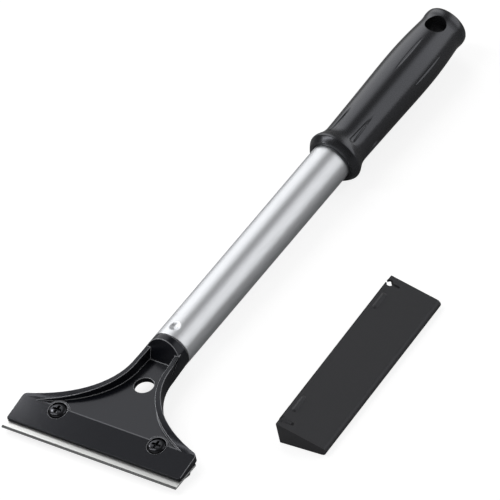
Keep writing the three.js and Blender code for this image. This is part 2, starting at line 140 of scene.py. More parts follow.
class Shader:
    """A small helper for writing node materials."""

    NOISE_ROUGHNESS = 0.55
    NOISE_LOW, NOISE_HIGH = 0.3, 0.7

    def __init__(self, name: str) -> None:
        """Starts an empty material.

        Args:
            name: The material's name.
        """
        self.material = bpy.data.materials.new(name)
        self.material.use_nodes = True
        self.tree = self.material.node_tree
        self.surface = self.tree.nodes["Principled BSDF"]

    def node(self, kind: str, **values: object) -> bpy.types.Node:
        """Adds a node and sets its inputs or properties.

        Args:
            kind: The node's type name.
            values: Input names with spaces as underscores, or plain properties.

        Returns:
            The new node.
        """
        made = self.tree.nodes.new(kind)
        for key, value in values.items():
            label = key.replace("_", " ")
            if label in made.inputs:
                made.inputs[label].default_value = value
            else:
                setattr(made, key, value)
        return made

    def link(self, source: bpy.types.NodeSocket, target: bpy.types.NodeSocket) -> None:
        """Joins two sockets.

        Args:
            source: The output socket.
            target: The input socket.
        """
        self.tree.links.new(source, target)

    def set(self, **values: object) -> None:
        """Sets sockets of the principled shader.

        Args:
            values: Socket names with spaces as underscores.
        """
        for key, value in values.items():
            self.surface.inputs[key.replace("_", " ")].default_value = value

    def place(self, scale: Sequence[float]) -> bpy.types.NodeSocket:
        """Gives object coordinates with a scale along each axis.

        Args:
            scale: The three scales.

        Returns:
            The socket that holds the coordinates.
        """
        where = self.node("ShaderNodeTexCoord")
        mapping = self.node("ShaderNodeMapping", Scale=tuple(scale))
        self.link(where.outputs["Object"], mapping.inputs["Vector"])
        return mapping.outputs["Vector"]

    def noise(self, scale: Sequence[float], detail: float = 3.0) -> bpy.types.NodeSocket:
        """Gives a noise value in object coordinates.

        Args:
            scale: The noise's frequency along each axis, per metre.
            detail: The noise's detail.

        Returns:
            The socket that holds the value.
        """
        texture = self.node("ShaderNodeTexNoise", Scale=1.0, Detail=detail,
                            Roughness=self.NOISE_ROUGHNESS)
        self.link(self.place(scale), texture.inputs["Vector"])
        return texture.outputs["Fac"]

    def spread(self, value: bpy.types.NodeSocket, low: float, high: float) -> bpy.types.NodeSocket:
        """Spreads a noise value over a range.

        Args:
            value: The noise's socket.
            low: The result where the noise is low.
            high: The result where the noise is high.

        Returns:
            The socket that holds the result.
        """
        ramp = self.node("ShaderNodeMapRange", From_Min=self.NOISE_LOW, From_Max=self.NOISE_HIGH,
                         To_Min=low, To_Max=high)
        self.link(value, ramp.inputs["Value"])
        return ramp.outputs["Result"]

    def bump(self, height: bpy.types.NodeSocket, depth: float, strength: float) -> None:
        """Adds a bump to the surface.

        Args:
            height: The socket that holds the height.
            depth: The bump's distance in metres.
            strength: The bump's strength.
        """
        made = self.node("ShaderNodeBump", Strength=strength, Distance=depth)
        self.link(height, made.inputs["Height"])
        self.link(made.outputs["Normal"], self.surface.inputs["Normal"])


@dataclass(frozen=True)
class Moulded:
    """A painted, plated or moulded surface with a fine grain.

    Attributes:
        name: The material's name.
        colour: The base colour, linear.
        roughness: The middle roughness.
        grain: The grain's frequency per metre.
        depth: The grain's depth in metres.
        specular: The specular level.
        metallic: How metallic the surface is.
        tint: The colour of the gloss.
        unevenness: How far the roughness strays from its middle.
        relief: The strength of the grain's bump.
    """

    name: str
    colour: tuple[float, float, float]
    roughness: float
    grain: float = 2500.0
    depth: float = 0.00002
    specular: float = 0.5
    metallic: float = 0.0
    tint: tuple[float, float, float] = (0.9, 0.92, 1.0)
    unevenness: float = 0.03
    relief: float = 0.35

    def material(self) -> bpy.types.Material:
        """Writes the material.

        Returns:
            The new material.
        """
        shader = Shader(self.name)
        shader.set(Base_Color=(*self.colour, 1.0), Metallic=self.metallic,
                   Specular_IOR_Level=self.specular, Specular_Tint=(*self.tint, 1.0))
        grain = shader.noise((self.grain,) * 3)
        low, high = self.roughness - self.unevenness, self.roughness + self.unevenness
        shader.link(shader.spread(grain, low, high), shader.surface.inputs["Roughness"])
        shader.bump(grain, self.depth, self.relief)
        return shader.material


@dataclass(frozen=True)
class Brushed:
    """A metal with fine lines drawn along one axis.

    Attributes:
        name: The material's name.
        colour: The base colour, linear.
        roughness: The middle roughness.
        lines: The line noise's frequency along X, Y and Z, per metre.
        depth: The lines' depth in metres.
        detail: The detail of the line noise.
        unevenness: How far the roughness strays from its middle.
        relief: The strength of the lines' bump.
    """

    name: str
    colour: tuple[float, float, float]
    roughness: float
    lines: tuple[float, float, float]
    depth: float = 0.000004
    detail: float = 2.0
    unevenness: float = 0.04
    relief: float = 0.2

    def material(self) -> bpy.types.Material:
        """Writes the material.

        Returns:
            The new material.
        """
        shader = Shader(self.name)
        shader.set(Base_Color=(*self.colour, 1.0), Metallic=1.0)
        lines = shader.noise(self.lines, self.detail)
        low, high = self.roughness - self.unevenness, self.roughness + self.unevenness
        shader.link(shader.spread(lines, low, high), shader.surface.inputs["Roughness"])
        shader.bump(lines, self.depth, self.relief)
        return shader.material


ENAMEL = Moulded(
    "black_enamel", (0.0066, 0.0072, 0.0102),
    roughness=0.21, grain=1800.0, depth=0.000012, specular=0.34)
# Painted highlight: a light grey enamel for the casting's rounded edges that look up, standing for the
# light those edges catch.
EDGE_HIGHLIGHT_ENAMEL = Moulded(
    "edge_painted_highlight", (0.27, 0.272, 0.283),
    roughness=0.3, grain=1800.0, depth=0.000005, specular=1.0)
# Painted highlight: a lighter enamel for the rounded fold between the web and the front plate, standing
# for the light line along the crease.
FOLD_HIGHLIGHT_ENAMEL = Moulded(
    "fold_painted_highlight", (0.05, 0.051, 0.056),
    roughness=0.25, grain=1800.0, depth=0.00001, specular=0.7)
PLATE_ENAMEL = Moulded(
    "plate_enamel", (0.009, 0.009, 0.01),
    roughness=0.4, grain=1800.0, depth=0.00002, specular=0.4)
SCREW_BLACK = Moulded(
    "screw_black", (0.012, 0.012, 0.0135),
    roughness=0.18, grain=3000.0, depth=0.000003, specular=1.0, metallic=0.6)
GRIP_PLASTIC = Moulded(
    "grip_plastic", (0.01, 0.01, 0.011),
    roughness=0.27, grain=3500.0, depth=0.000006, specular=0.92)
COVER_PLASTIC = Moulded(
    "cover_plastic", (0.049, 0.049, 0.0515),
    roughness=0.5, grain=3000.0, depth=0.00002, specular=0.4)
BLADE_FLAT = Brushed("blade_flat", (0.6, 0.604, 0.596), roughness=0.45, lines=(40.0, 6000.0, 6000.0))
BLADE_GROUND = Brushed("blade_ground", (0.6, 0.61, 0.61), roughness=0.25, lines=(40.0, 9000.0, 9000.0))
TUBE_SATIN = Brushed("tube_satin", (0.82, 0.835, 0.86), roughness=0.42, lines=(5000.0, 60.0, 5000.0))


class Forge:
    """Makes meshes: from CAD nodes, by turning a profile, and by softening edges.

    Attributes:
        MERGE: Points of a CAD mesh closer than this, in millimetres, are one.
        SAME: Points of a rounded mesh closer than this, in millimetres, are one.
        FLAT_ANGLE: Faces that meet at less than this, in degrees, are one.
        FOLD_REACH: How far from its line a fold's edge may lie, in millimetres.
        FOLD_LENGTH: A fold's edge is longer than this, in millimetres.
        FOLD_ANGLE: A fold is bent by more than this, in degrees.
        STRAIGHT: The share of its length that a fold's edge runs along X.
        FACING_UP: The share along Z of the normals beside a fold.
        POINT: A profile's radius below this is a point on the axis.
    """

    MERGE = 0.02
    SAME = 0.001
    FLAT_ANGLE = 0.6
    FOLD_REACH = 0.6
    FOLD_LENGTH = 4.0
    FOLD_ANGLE = 15.0
    STRAIGHT = 0.99
    FACING_UP = 0.8
    POINT = 1e-6

    @staticmethod
    def shown(name: str, mesh: bpy.types.Mesh) -> bpy.types.Object:
        """Links a mesh into the scene.

        Args:
            name: The new object's name.
            mesh: Its mesh.

        Returns:
            The new object.
        """
        made = bpy.data.objects.new(name, mesh)
        bpy.context.scene.collection.objects.link(made)
        return made

    @staticmethod
    def copy_of(node: str, name: str) -> bpy.types.Object:
        """Copies a CAD node's mesh into a new object.

        Args:
            node: The CAD node's name.
            name: The new object's name.

        Returns:
            The new object.
        """
        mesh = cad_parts[node].data.copy()
        mesh.materials.clear()
        found = mesh.attributes.get("custom_normal")
        if found:
            mesh.attributes.remove(found)
        return Forge.shown(name, mesh)

    @staticmethod
    def soften(
        thing: bpy.types.Object,
        width: float,
        segments: int,
        angle: float = 28.0,
        finish_index: int = -1,
    ) -> None:
        """Rounds the sharp edges of a mesh.

        Args:
            thing: The object to change.
            width: The bevel's width in millimetres.
            segments: The bevel's segments.
            angle: Edges sharper than this, in degrees, are rounded.
            finish_index: The rounded faces' material index, or -1 for that of their neighbours.
        """
        edit = bmesh.new()
        edit.from_mesh(thing.data)
        bmesh.ops.remove_doubles(edit, verts=edit.verts, dist=Forge.MERGE * MM)
        bmesh.ops.dissolve_limit(edit, angle_limit=math.radians(Forge.FLAT_ANGLE),
                                 verts=edit.verts, edges=edit.edges)
        sharp = [
            edge for edge in edit.edges
            if len(edge.link_faces) == 2
            and edge.calc_face_angle(0.0) > math.radians(angle)
        ]
        bmesh.ops.bevel(edit, geom=sharp, offset=width * MM, offset_type="OFFSET", segments=segments,
                        profile=0.5, affect="EDGES", clamp_overlap=False, material=finish_index)
        edit.to_mesh(thing.data)
        edit.free()

    @staticmethod
    def round_fold(thing: bpy.types.Object, y: float, width: float, finish_index: int) -> None:
        """Rounds the shallow fold that runs across a mesh and looks up.

        Args:
            thing: The object to change.
            y: The fold's place in metres.
            width: The bevel's width in millimetres.
            finish_index: The rounded faces' material index.
        """
        edit = bmesh.new()
        edit.from_mesh(thing.data)
        folds = []
        for edge in edit.edges:
            way = edge.verts[1].co - edge.verts[0].co
            near = all(abs(vert.co.y - y) < Forge.FOLD_REACH * MM for vert in edge.verts)
            across = way.length > Forge.FOLD_LENGTH * MM and abs(way.x) > Forge.STRAIGHT * way.length
            bent = edge.calc_face_angle(0.0) > math.radians(Forge.FOLD_ANGLE)
            upward = all(face.normal.z > Forge.FACING_UP for face in edge.link_faces)
            if near and across and bent and upward:
                folds.append(edge)
        bmesh.ops.bevel(edit, geom=folds, offset=width * MM, offset_type="OFFSET", segments=2,
                        profile=0.5, affect="EDGES", clamp_overlap=False, material=finish_index)
        bmesh.ops.remove_doubles(edit, verts=edit.verts, dist=Forge.SAME * MM)
        edit.to_mesh(thing.data)
        edit.free()
        LOG.info("%s: %d folds rounded", thing.name, len(folds))

    @staticmethod
    def smooth(thing: bpy.types.Object, angle: float = 32.0) -> None:
        """Shades a mesh smoothly, with hard lines where it is sharp.

        Args:
            thing: The object to change.
            angle: Edges sharper than this, in degrees, stay hard.
        """
        thing.data.polygons.foreach_set("use_smooth", [True] * len(thing.data.polygons))
        thing.data.set_sharp_from_angle(angle=math.radians(angle))
        even = thing.modifiers.new("even_normals", "WEIGHTED_NORMAL")
        even.keep_sharp = True

    @staticmethod
    def turned(
        name: str,
        profile: Profile,
        segments: int,
        radial: Callable[[float, float, float], float] | None = None,
    ) -> bpy.types.Object:
        """Turns a closed or axis-to-axis profile about Y, in millimetres.

        Args:
            name: The new object's name.
            profile: Pairs of radius and y. A radius of 0 is a point on the axis.
            segments: Points round the axis.
            radial: Changes a radius, from the radius, the angle from +Z and y.

        Returns:
            The new object, still in millimetres.
        """
        edit = bmesh.new()
        rings = []
        for radius, y in profile:
            if radius < Forge.POINT:
                rings.append([edit.verts.new((0.0, y, 0.0))])
                continue
            ring = []
            for step in range(segments):
                turn = 2 * math.pi * step / segments
                reach = radial(radius, turn, y) if radial else radius
                ring.append(edit.verts.new((reach * math.sin(turn), y, reach * math.cos(turn))))
            rings.append(ring)
        pairs = list(zip(rings, rings[1:]))
        if len(rings[0]) > 1 and len(rings[-1]) > 1:
            pairs.append((rings[-1], rings[0]))
        for first, second in pairs:
            for step in range(segments):
                after = (step + 1) % segments
                if len(first) == 1:
                    edit.faces.new((first[0], second[after], second[step]))
                elif len(second) == 1:
                    edit.faces.new((first[step], first[after], second[0]))
                else:
                    edit.faces.new((first[step], first[after], second[after], second[step]))
        bmesh.ops.recalc_face_normals(edit, faces=edit.faces)
        mesh = bpy.data.meshes.new(name)
        edit.to_mesh(mesh)
        edit.free()
        return Forge.shown(name, mesh)

    @staticmethod
    def carve(thing: bpy.types.Object, tool: bpy.types.Object) -> None:
        """Cuts one mesh out of another and drops the tool.

        Args:
            thing: The object that is cut.
            tool: The object that cuts.
        """
        step = thing.modifiers.new("carve", "BOOLEAN")
        step.operation = "DIFFERENCE"
        step.solver = "EXACT"
        step.object = tool
        graph = bpy.context.evaluated_depsgraph_get()
        mesh = bpy.data.meshes.new_from_object(thing.evaluated_get(graph))
        old = thing.data
        thing.modifiers.clear()
        thing.data = mesh
        bpy.data.meshes.remove(old)
        bpy.data.objects.remove(tool)


def smoothstep(low: float, high: float, value: float) -> float:
    """Rises smoothly from 0 to 1.

    Args:
        low: Where the rise begins.
        high: Where it ends.
        value: Where it is read.

    Returns:
        A number from 0 to 1.
    """
    t = min(1.0, max(0.0, (value - low) / (high - low)))
    return t * t * (3 - 2 * t)


def spline(points: Profile, count: int) -> list[tuple[float, float]]:
    """Draws a smooth line through points.

    Args:
        points: Pairs of radius and y.
        count: Steps between two points.

    Returns:
        The finer line.
    """
    line = []
    last = len(points) - 1
    for i in range(last):
        p0, p1, p2, p3 = (Vector(points[max(0, min(last, i + k))]) for k in (-1, 0, 1, 2))
        for step in range(count):
            t = step / count
            point = 0.5 * (2 * p1 + (p2 - p0) * t + (2 * p0 - 5 * p1 + 4 * p2 - p3) * t * t
                           + (3 * p1 - p0 - 3 * p2 + p3) * t ** 3)
            line.append((point.x, point.y))
    line.append(tuple(points[-1]))
    return line


@dataclass
class Piece:
    """A finer piece that stands for one CAD node.

    Attributes:
        node: The CAD node.
        body: The body that the piece rides on.
        slot: The record's material slot. Not used by this script.
    """

    node: str
    body: Body
    slot: Slot
    thing: bpy.types.Object | None = field(default=None, init=False)

    def build(self) -> None:
        """Makes the mesh. Each kind of piece has its own way."""
        raise NotImplementedError

    def dress(self) -> None:
        """Gives the mesh its finish. Each kind of piece has its own."""
        raise NotImplementedError

    def wear(self, *finishes: Moulded | Brushed) -> None:
        """Puts materials on the mesh.

        Args:
            finishes: The finishes, in the order of the faces' indices.
        """
        for finish in finishes:
            found = bpy.data.materials.get(finish.name)
            self.thing.data.materials.append(found or finish.material())

    def fit(self) -> None:
        """Lets the piece ride on its body and stand for its CAD node."""
        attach(self.thing, self.body.value)
        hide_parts(self.node)

    def make(self) -> None:
        """Builds, dresses and fits the piece."""
        self.build()
        self.dress()
        self.fit()
        LOG.info("%s: %d faces", self.thing.name, len(self.thing.data.polygons))


@dataclass
class Casting(Piece):
    """A cast or pressed piece: the CAD shape with its edges rounded.

    Attributes:
        finish: The piece's finish.
        rounding: The edges' width in millimetres.
        segments: The edges' segments.
        edge_highlight_finish: The painted highlight on the rounded edges, a light finish that stands for
            the light they catch.
        edge_lift: Only rounded faces that look up by at least this share, towards the light above, wear
            the painted highlight.
        plain_lip: The depth of the front lip, in millimetres, whose edges stay plain, without the painted
            highlight.
        fold: The rounding of a shallow fold across the piece in millimetres, 0 for none. With an edge
            finish, the rounded fold wears a lighter enamel, a painted highlight along the crease.
        fold_from_lip: The fold's distance from the front lip in millimetres.
    """

    finish: Moulded = ENAMEL
    rounding: float = 0.22
    segments: int = 2
    edge_highlight_finish: Moulded | None = None
    edge_lift: float = 0.15
    plain_lip: float = 2.0
    fold: float = 0.0
    fold_from_lip: float = 14.1

    def build(self) -> None:
        """Copies the CAD node and rounds its edges."""
        self.thing = Forge.copy_of(self.node, f"{self.node}_skin")
        index = -1 if self.edge_highlight_finish is None else Coat.EDGE
        Forge.soften(self.thing, self.rounding, self.segments, finish_index=index)
        if self.fold:
            low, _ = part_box(self.node)
            Forge.round_fold(self.thing, low.y + self.fold_from_lip * MM, self.fold, Coat.FOLD)
        Forge.smooth(self.thing)

    def dress(self) -> None:
        """Gives it its finish, and its upward-facing rounded edges and its fold their painted highlights.
        """
        self.wear(self.finish)
        if self.edge_highlight_finish is None:
            return
        self.wear(self.edge_highlight_finish, FOLD_HIGHLIGHT_ENAMEL)
        low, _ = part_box(self.node)
        # The painted highlight stays only on rounded faces that look up and lie behind the front lip; all
        # others take the body enamel.
        for face in self.thing.data.polygons:
            if face.normal.z < self.edge_lift or face.center.y < low.y + self.plain_lip * MM:
                face.material_index = Coat.BODY


@dataclass
class Blade(Piece):
    """The steel blade, bright on its flat and darker along its ground edge and its cut ends.

    Attributes:
        bevel_slope: A face's normal has at most this share along Z on the ground edge.
        end_slope: A face's normal has at least this share along X on the cut ends.
        ground_depth: The ground edge's depth in millimetres.
        rim: The rounding of the edges in millimetres.
        rim_angle: Edges sharper than this, in degrees, are rounded.
    """

    bevel_slope: float = 0.93
    end_slope: float = 0.5
    ground_depth: float = 1.1
    rim: float = 0.05
    rim_angle: float = 60.0

    def build(self) -> None:
        """Copies the CAD node and takes the sharpness off its edges."""
        self.thing = Forge.copy_of(self.node, f"{self.node}_skin")
        Forge.soften(self.thing, self.rim, 1, self.rim_angle)

    def dress(self) -> None:
        """Gives the flat, and the ground edge and ends, their own finishes."""
        self.wear(BLADE_FLAT, BLADE_GROUND)
        low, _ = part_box(self.node)
        for face in self.thing.data.polygons:
            near = face.center.y < low.y + self.ground_depth * MM
            ground = near and 0 < face.normal.z < self.bevel_slope
            face.material_index = int(ground or abs(face.normal.x) > self.end_slope)


@dataclass
class Tube(Piece):
    """The satin aluminium tube with its punched dimple.

    Attributes:
        radius: The outer radius in millimetres.
        wall: The wall's thickness.
        start: The lower end's y.
        end: The upper end's y.
        dimple_y: The dimple's centre.
        dimple_radius: The dimple's radius on the surface.
        dimple_depth: The dimple's depth.
        dimple_floor: The share of the dimple's radius that is flat.
        dimple_rim: The share of it at which the dimple has run out.
        lip: The rounding of the tube's ends.
        lip_curve: A point on the lower rounding, inside the radius and above the end.
        fine_rings: The first ring near the dimple above the start, the step and the count.
        coarse_rings: The first ring past the dimple, the step and the count.
        segments: Points round the tube.
        hard_angle: Edges sharper than this, in degrees, stay hard.
    """

    radius: float = TOOL.tube_radius
    wall: float = 1.2
    start: float = TOOL.tube_start
    end: float = 206.3
    dimple_y: float = 6.4
    dimple_radius: float = 2.9
    dimple_depth: float = 1.15
    dimple_floor: float = 0.15
    dimple_rim: float = 1.12
    lip: float = 0.3
    lip_curve: tuple[float, float] = (0.08, 0.1)
    fine_rings: tuple[float, float, int] = (0.35, 0.28, 34)
    coarse_rings: tuple[float, float, int] = (20.0, 8.0, 24)
    segments: int = 240
    hard_angle: float = 40.0

    def sunk(self, radius: float, turn: float, y: float) -> float:
        """Lowers the surface in the dimple.

        Args:
            radius: The radius without the dimple.
            turn: The angle from +Z.
            y: The place along the tube.

        Returns:
            The radius with the dimple.
        """
        across = math.atan2(math.sin(turn), math.cos(turn)) * radius
        away = math.hypot(across, y - self.dimple_y) / self.dimple_radius
        return radius - self.dimple_depth * (1 - smoothstep(self.dimple_floor, self.dimple_rim, away))

    def build(self) -> None:
        """Turns the tube, with many rings near the dimple."""
        inner = self.radius - self.wall
        first, gap, count = self.fine_rings
        near = [self.start + first + gap * step for step in range(count)]
        first, gap, count = self.coarse_rings
        far = [first + gap * step for step in range(count)]
        inset, rise = self.lip_curve
        outside = [(self.radius - self.lip, self.start), (self.radius - inset, self.start + rise)]
        outside += [(self.radius, y) for y in (*near, *far, self.end - self.lip)]
        profile = [*outside, (self.radius - self.lip, self.end), (inner, self.end)]
        profile += [(inner, y) for y in reversed((*near, *far))] + [(inner, self.start)]
        self.thing = Forge.turned(f"{self.node}_skin", profile, self.segments, self.sunk)
        self.thing.data.transform(TOOL.matrix())
        Forge.smooth(self.thing, self.hard_angle)

    def dress(self) -> None:
        """Gives it satin metal."""
        self.wear(TUBE_SATIN)


@dataclass
class Grip(Piece):
    """The moulded grip: flared collar, pointed grooves at both ends and a hang hole.

    Attributes:
        mouth: The collar mouth's y in millimetres.
        bore: The bore's radius.
        bore_end: The bore's end.
        butt: The butt's y.
        twist: The turn about the tube, towards +X, in degrees.
        hole_y: The hang hole's y.
        hole_radius: The hang hole's radius.
        lower_y: The middle of the grooves by the collar.
        lower_length: Their length.
        lower_width: Their width at the collar, from where they run to a point.
        lower_depth: Their depth.
        upper_y: The middle of the creases by the butt.
        upper_length: Their length.
        upper_width: Their width.
        upper_depth: Their depth.
        groove_step: The angle from one groove to the next, in radians.
        groove_floor: The share of a lower groove's half width that is flat.
        groove_start: The share of a lower groove's length over which it sinks in.
        groove_end: The share of it over which it runs out.
        groove_tip: A lower groove's half width at its point.
        crease_tip: An upper crease's half width at its points.
        skin: Only what lies this far outside the bore is grooved.
        mouth_rim: The rounding of the bore's mouth, outwards and inwards.
        steps: Steps between two points of the outline.
        segments: Points round the grip.
        hard_angle: Edges sharper than this, in degrees, stay hard.
        drill_reach: Half the length of the tool that cuts the hang hole.
        drill_segments: Points round that tool.
        rim: The rounding of the hang hole's rim.
        rim_reach: How far from the hole's radius its rim may lie.
    """

    mouth: float = 134.1
    bore: float = 10.3
    bore_end: float = 206.6
    butt: float = 234.0
    twist: float = 12.0
    hole_y: float = 223.2
    hole_radius: float = 5.0
    lower_y: float = 152.1
    lower_length: float = 21.0
    lower_width: float = 3.8
    lower_depth: float = 0.6
    upper_y: float = 200.8
    upper_length: float = 24.0
    upper_width: float = 1.3
    upper_depth: float = 0.34
    groove_step: float = math.pi / 3
    groove_floor: float = 0.25
    groove_start: float = 0.12
    groove_end: float = 0.45
    groove_tip: float = 0.15
    crease_tip: float = 0.05
    skin: float = 0.5
    mouth_rim: tuple[float, float] = (0.25, 0.3)
    steps: int = 10
    segments: int = 288
    hard_angle: float = 35.0
    drill_reach: float = 20.0
    drill_segments: int = 72
    rim: float = 0.28
    rim_reach: float = 0.05

    def outline(self) -> list[tuple[float, float]]:
        """Draws the outer surface from the collar's lip to the butt.

        Returns:
            Pairs of radius and y.
        """
        lip = [(self.bore + self.mouth_rim[0], self.mouth), (11.7, self.mouth),
               (11.95, self.mouth + 0.12)]
        body = spline([
            (12.15, self.mouth + 0.4), (12.95, 135.7), (13.6, 136.9), (13.83, 137.7), (13.68, 138.9),
            (13.0, 140.6), (12.1, 142.7), (11.52, 145.2), (11.38, 148.0), (11.48, 155.0),
            (11.66, 166.0), (11.9, 178.0), (12.15, 190.0), (12.24, 199.0), (12.12, 207.0),
            (11.75, 214.5), (11.25, 221.0), (10.85, 225.5), (10.9, 227.6), (11.12, 229.8),
            (11.05, 231.4),
        ], self.steps)
        end = [(10.8, 232.4), (10.3, 233.1), (9.5, 233.5), (7.0, 233.8), (3.5, 233.95),
               (0.0, self.butt)]
        return lip + body + end

    def grooved(self, radius: float, turn: float, y: float) -> float:
        """Sinks the grooves into the outer surface.

        Args:
            radius: The radius without grooves.
            turn: The angle from the hang hole's side.
            y: The place along the grip.

        Returns:
            The radius with grooves.
        """
        if radius < self.bore + self.skin:
            return radius
        step = self.groove_step
        lower = (y - self.lower_y) / self.lower_length + 0.5
        if 0 < lower < 1:
            aside = abs(turn % step - step / 2) * radius
            across = aside / (self.lower_width / 2 * (1 - lower) + self.groove_tip)
            ends = smoothstep(0, self.groove_start, lower) * smoothstep(0, self.groove_end, 1 - lower)
            radius -= self.lower_depth * ends * (1 - smoothstep(self.groove_floor, 1.0, across))
        upper = (y - self.upper_y) / (self.upper_length / 2)
        if abs(upper) < 1:
            aside = abs((turn + step / 2) % step - step / 2) * radius
            swell = 1 - upper * upper
            across = aside / (self.upper_width / 2 * swell + self.crease_tip)
            radius -= self.upper_depth * swell * (1 - smoothstep(0.0, 1.0, across))
        return radius

    def build(self) -> None:
        """Turns the grip, grooves it and cuts the hang hole."""
        outside = self.outline()
        inside = [(0.0, self.bore_end), (self.bore, self.bore_end),
                  (self.bore, self.mouth + self.mouth_rim[1])]
        self.thing = Forge.turned(f"{self.node}_skin", [*inside, *outside], self.segments, self.grooved)
        self.drill()
        turn = Matrix.Rotation(math.radians(self.twist), 4, "Y")
        self.thing.data.transform(TOOL.matrix() @ turn)
        Forge.smooth(self.thing, self.hard_angle)

    def on_rim(self, point: Vector) -> bool:
        """Tells whether a point lies on the hang hole's wall.

        Args:
            point: The point in tool millimetres.

        Returns:
            True within the rim's reach of the hole's radius.
        """
        away = math.hypot(point.x, point.y - self.hole_y)
        return abs(away - self.hole_radius) < self.rim_reach

    def drill(self) -> None:
        """Cuts the hang hole and rounds its rim."""
        reach, radius = self.drill_reach, self.hole_radius
        sides = [(0.0, -reach), (radius, -reach), (radius, reach), (0.0, reach)]
        tool = Forge.turned("hang_hole_tool", sides, self.drill_segments)
        upright = Matrix.Rotation(math.pi / 2, 4, "X")
        tool.data.transform(Matrix.Translation((0, self.hole_y, 0)) @ upright)
        Forge.carve(self.thing, tool)
        edit = bmesh.new()
        edit.from_mesh(self.thing.data)
        rim = [
            edge for edge in edit.edges
            if len(edge.link_faces) == 2
            and edge.calc_face_angle(0.0) > math.radians(self.hard_angle)
            and all(self.on_rim(vert.co) for vert in edge.verts)
        ]
        bmesh.ops.bevel(edit, geom=rim, offset=self.rim, offset_type="OFFSET", segments=2, profile=0.5,
                        affect="EDGES", clamp_overlap=False)
        edit.to_mesh(self.thing.data)
        edit.free()

    def dress(self) -> None:
        """Gives it moulded plastic."""
        self.wear(GRIP_PLASTIC)


@dataclass
class Cover(Piece):
    """The wedge-shaped blade cover.

    Attributes:
        rim: The rounding of the edges in millimetres.
        rim_segments: The rounding's segments.
    """

    rim: float = 0.25
    rim_segments: int = 2

    def build(self) -> None:
        """Copies the CAD node and softens its edges."""
        self.thing = Forge.copy_of(self.node, f"{self.node}_skin")
        Forge.soften(self.thing, self.rim, self.rim_segments)
        Forge.smooth(self.thing)

    def dress(self) -> None:
        """Gives it flat plastic."""
        self.wear(COVER_PLASTIC)


class Sky:
    """Writes a room light that depends on the direction in the row frame."""

    def __init__(self, tree: bpy.types.NodeTree) -> None:
        """Starts from a world's nodes.

        Args:
            tree: The world's node tree.
        """
        self.tree = tree
        self.background = tree.nodes["Background"]
        self.where = tree.nodes.new("ShaderNodeTexCoord").outputs["Generated"]

    def along(self, direction: Vector) -> bpy.types.NodeSocket:
        """Measures how far a ray goes along a direction.

        Args:
            direction: The direction in the row frame.

        Returns:
            The socket that holds the measure, from -1 to 1.
        """
        made = self.tree.nodes.new("ShaderNodeVectorMath")
        made.operation = "DOT_PRODUCT"
        self.tree.links.new(self.where, made.inputs[0])
        made.inputs[1].default_value = direction
        return made.outputs["Value"]

    def ramp(self, value: bpy.types.NodeSocket, start: float, full: float) -> bpy.types.NodeSocket:
        """Fades in from 0 to 1.

        Args:
            value: The measure's socket.
            start: Where the fade begins.
            full: Where it is full.

        Returns:
            The socket that holds the share.
        """
        made = self.tree.nodes.new("ShaderNodeMapRange")
        made.interpolation_type = "SMOOTHSTEP"
        low, high = min(start, full), max(start, full)
        made.inputs["From Min"].default_value = low
        made.inputs["From Max"].default_value = high
        made.inputs["To Min"].default_value = float(start > full)
        made.inputs["To Max"].default_value = float(start < full)
        self.tree.links.new(value, made.inputs["Value"])
        return made.outputs["Result"]

    def product(
        self, first: bpy.types.NodeSocket, second: bpy.types.NodeSocket
    ) -> bpy.types.NodeSocket:
        """Multiplies two shares.

        Args:
            first: The first share.
            second: The second share.

        Returns:
            The socket that holds the product.
        """
        made = self.tree.nodes.new("ShaderNodeMath")
        made.operation = "MULTIPLY"
        self.tree.links.new(first, made.inputs[0])
        self.tree.links.new(second, made.inputs[1])
        return made.outputs["Value"]

    def total(self, *terms: tuple[float, bpy.types.NodeSocket | None]) -> bpy.types.NodeSocket:
        """Adds weighted shares.

        Args:
            terms: Pairs of a weight and a share. A missing share counts as 1.

        Returns:
            The socket that holds the sum.
        """
        result = None
        for weight, share in terms:
            made = self.tree.nodes.new("ShaderNodeMath")
            made.operation = "MULTIPLY_ADD"
            made.inputs[0].default_value = 1.0
            made.inputs[1].default_value = weight
            made.inputs[2].default_value = 0.0
            if share is not None:
                self.tree.links.new(share, made.inputs[0])
            if result is not None:
                self.tree.links.new(result, made.inputs[2])
            result = made.outputs["Value"]
        return result

    def show(self, light: bpy.types.NodeSocket) -> None:
        """Lights the scene, and looks white to the camera.

        Args:
            light: The light's strength.
        """
        path = self.tree.nodes.new("ShaderNodeLightPath")
        mix = self.tree.nodes.new("ShaderNodeMix")
        mix.data_type = "FLOAT"
        mix.inputs["B"].default_value = 1.0
        self.tree.links.new(light, mix.inputs["A"])
        self.tree.links.new(path.outputs["Is Camera Ray"], mix.inputs["Factor"])
        self.tree.links.new(mix.outputs["Result"], self.background.inputs["Strength"])
        self.background.inputs["Color"].default_value = (1, 1, 1, 1)


@dataclass(frozen=True)
class Lamp:
    """One soft light.

    Attributes:
        name: The light's name.
        aim: The direction from the object to the light, as right, up and towards the camera.
        distance: The light's distance in metres.
        size: The light's width and height in metres.
        power: The light's power in watts.
    """

    name: str
    aim: tuple[float, float, float]
    distance: float
    size: tuple[float, float]
    power: float


KEY_LEFT = Lamp("key_left", (-1.0, 0.9, 0.5), distance=1.2, size=(0.25, 0.9), power=3.0)
NEAR_LEFT = Lamp("near_left", (-0.922, 0.353, 0.158), distance=0.2255, size=(0.04, 0.04), power=0.052)


